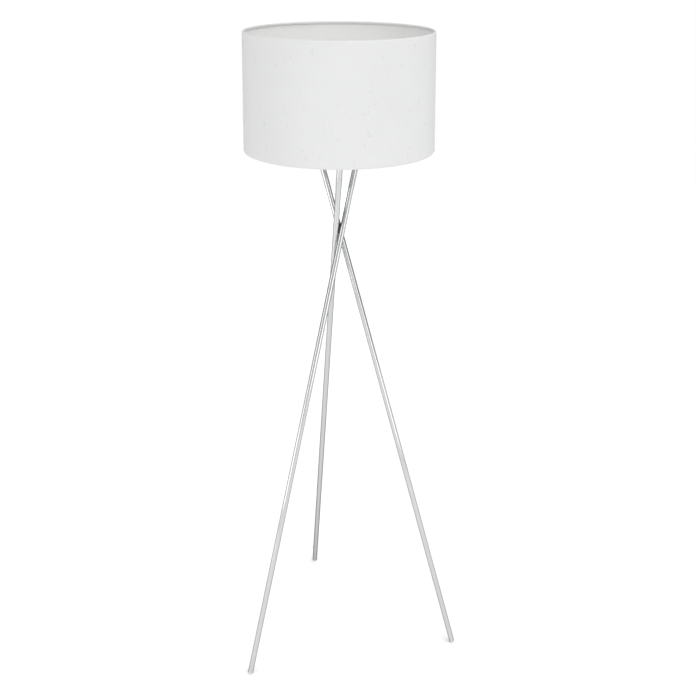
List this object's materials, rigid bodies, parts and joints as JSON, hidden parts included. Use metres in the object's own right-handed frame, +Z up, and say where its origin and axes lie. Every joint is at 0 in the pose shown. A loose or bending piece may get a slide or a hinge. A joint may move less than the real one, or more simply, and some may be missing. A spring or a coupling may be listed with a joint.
{
  "type": "tripod floor lamp",
  "caption": "Floor lamp on crossed chromed tubes that meet at a waist hub, with a canopy, a lampholder, a bulb and a white fabric drum shade.",
  "frame": {"origin": "middle of the footprint at floor level; the lamp's own axis stands at X -0.0363, Y -0.0437", "axes": "+Z up along the lamp's axis, -Y towards the viewer's side with the front leg at the left, +X to the right"},
  "size_m": [0.5323, 0.5254, 1.54],
  "materials": {
    "chrome": "bright chrome plate on steel tube",
    "zinc_steel": "zinc-plated screws and nut",
    "brass": "turned brass",
    "aluminium": "pressed aluminium",
    "black_plastic": "moulded, matt",
    "clear_plastic": "pale translucent moulding",
    "white_plastic": "moulded, satin",
    "porcelain": "glazed",
    "cord_sheath": "smooth PVC sheath",
    "white_wire": "white powder coat on wire",
    "liner_film": "white self-adhesive shade film",
    "shade_cloth": "fine woven cloth with sparse slubs, laminated to the film",
    "opal": "opal diffuser"
  },
  "bodies": {
    "frame": {"leg_tube_front": "chrome", "leg_tube_right": "chrome", "leg_tube_rear": "chrome", "leg_sleeve_front": "chrome", "leg_sleeve_right": "chrome", "leg_sleeve_rear": "chrome", "canopy_plate": "chrome", "canopy_cover": "chrome", "leg_lock_screw_front": "zinc_steel", "leg_lock_screw_right": "zinc_steel", "leg_lock_screw_rear": "zinc_steel", "cover_screw_1": "zinc_steel", "cover_screw_2": "zinc_steel", "cover_screw_3": "zinc_steel", "cord_grip_screw": "zinc_steel", "nipple_nut": "zinc_steel", "threaded_nipple": "brass", "earth_tag": "brass", "centre_contact": "brass", "screw_shell": "aluminium", "waist_hub": "black_plastic", "cord_grip": "black_plastic", "cord_gland": "black_plastic", "foot_glide_front": "clear_plastic", "foot_glide_right": "clear_plastic", "foot_glide_rear": "clear_plastic", "holder_cap": "white_plastic", "holder_skirt": "white_plastic", "contact_block": "porcelain", "supply_lead": "cord_sheath"},
    "shade": {"shade_cloth": "shade_cloth", "shade_liner": "liner_film", "shade_wire_top": "white_wire", "shade_wire_bottom": "white_wire", "fitter_ring": "white_wire", "fitter_spoke_1": "white_wire", "fitter_spoke_2": "white_wire", "fitter_spoke_3": "white_wire"},
    "ring": {"retaining_ring": "white_plastic"},
    "bulb": {"bulb_screw_cap": "aluminium", "bulb_tip_contact": "aluminium", "bulb_insulator": "black_plastic", "bulb_body": "white_plastic", "led_board": "aluminium", "bulb_diffuser": "opal"}
  },
  "joints": [
    {"name": "shade_turn", "type": "hinge", "parent": "frame", "child": "shade", "pos_m": [-0.03632, -0.04371, 1.3498], "axis": [0, 0, 1], "continuous": true},
    {"name": "ring_turn", "type": "hinge", "parent": "frame", "child": "ring", "pos_m": [-0.03632, -0.04371, 1.3556], "axis": [0, 0, 1], "range_deg": [0, 1080]},
    {"name": "bulb_turn", "type": "hinge", "parent": "frame", "child": "bulb", "pos_m": [-0.03632, -0.04371, 1.37], "axis": [0, 0, 1], "range_deg": [0, 1080]}
  ]
}
